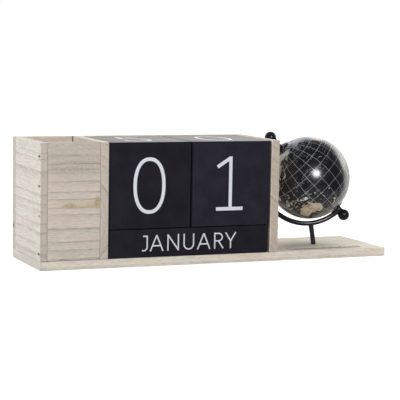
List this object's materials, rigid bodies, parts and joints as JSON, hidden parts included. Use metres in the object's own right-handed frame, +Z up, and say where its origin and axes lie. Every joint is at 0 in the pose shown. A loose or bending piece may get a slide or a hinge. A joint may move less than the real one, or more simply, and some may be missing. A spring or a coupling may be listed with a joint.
{
  "type": "perpetual block calendar",
  "caption": "Wooden desk block calendar with a pen box, two black day cubes over square month bars, and a small dark globe on a leaning wire yoke.",
  "frame": {"origin": "middle of the base board's underside", "axes": "+X along the board towards the globe, +Y to the back panel, +Z up"},
  "size_m": [0.368, 0.095, 0.1252],
  "materials": {
    "pale_wood": "bare pale paulownia, fine sawn grain",
    "black_paint": "satin blue-black paint with pale printed figures",
    "globe_print": "glossy black printed map",
    "black_enamel": "semi-gloss black",
    "dark_steel": "darkened steel",
    "brad_steel": "darkened steel brad heads"
  },
  "bodies": {
    "root": {"base_board": "pale_wood", "left_end_wall": "pale_wood", "divider_wall": "pale_wood", "right_end_wall": "pale_wood", "pen_box_front": "pale_wood", "back_panel": "pale_wood", "left_wall_brad_1": "brad_steel", "left_wall_brad_2": "brad_steel", "left_wall_brad_3": "brad_steel", "left_wall_brad_4": "brad_steel", "divider_brad_1": "brad_steel", "divider_brad_2": "brad_steel", "divider_brad_3": "brad_steel", "divider_brad_4": "brad_steel", "back_left_brad_1": "brad_steel", "back_left_brad_2": "brad_steel", "back_left_brad_3": "brad_steel", "back_divider_brad_1": "brad_steel", "back_divider_brad_2": "brad_steel", "back_divider_brad_3": "brad_steel", "back_right_brad_1": "brad_steel", "back_right_brad_2": "brad_steel", "back_right_brad_3": "brad_steel", "base_left_brad_1": "brad_steel", "base_left_brad_2": "brad_steel", "base_divider_brad_1": "brad_steel", "base_divider_brad_2": "brad_steel", "base_right_brad_1": "brad_steel", "base_right_brad_2": "brad_steel", "base_front_brad_1": "brad_steel", "base_front_brad_2": "brad_steel", "base_back_brad_1": "brad_steel", "base_back_brad_2": "brad_steel", "base_back_brad_3": "brad_steel", "globe_axle": "dark_steel", "upper_collar": "black_enamel", "upper_knob": "black_enamel", "lower_knob": "black_enamel", "yoke_ring": "black_enamel", "yoke_post": "black_enamel", "post_washer": "dark_steel", "post_screw": "dark_steel"},
    "tens_cube": {"day_cube_tens": "black_paint"},
    "units_cube": {"day_cube_units": "black_paint"},
    "rear_bar": {"month_bar_rear": "black_paint"},
    "middle_bar": {"month_bar_middle": "black_paint"},
    "front_bar": {"month_bar_front": "black_paint"},
    "globe_ball": {"globe_north_shell": "globe_print", "globe_south_shell": "globe_print", "globe_north_hub": "black_enamel", "globe_south_hub": "black_enamel"}
  },
  "joints": [
    {"name": "tens_cube_lift", "type": "slide", "parent": "root", "child": "tens_cube", "axis": [0, 0, 1], "range_m": [0, 0.09]},
    {"name": "units_cube_lift", "type": "slide", "parent": "root", "child": "units_cube", "axis": [0, 0, 1], "range_m": [0, 0.09]},
    {"name": "rear_bar_slide", "type": "slide", "parent": "root", "child": "rear_bar", "axis": [0, -1, 0], "range_m": [0, 0.085]},
    {"name": "middle_bar_slide", "type": "slide", "parent": "rear_bar", "child": "middle_bar", "axis": [0, -1, 0], "range_m": [0, 0.057]},
    {"name": "front_bar_slide", "type": "slide", "parent": "middle_bar", "child": "front_bar", "axis": [0, -1, 0], "range_m": [0, 0.03]},
    {"name": "globe_spin", "type": "hinge", "parent": "root", "child": "globe_ball", "pos_m": [0.11645, -0.00351, 0.07778], "axis": [-0.6852, 0.1645, 0.7096], "continuous": true}
  ]
}
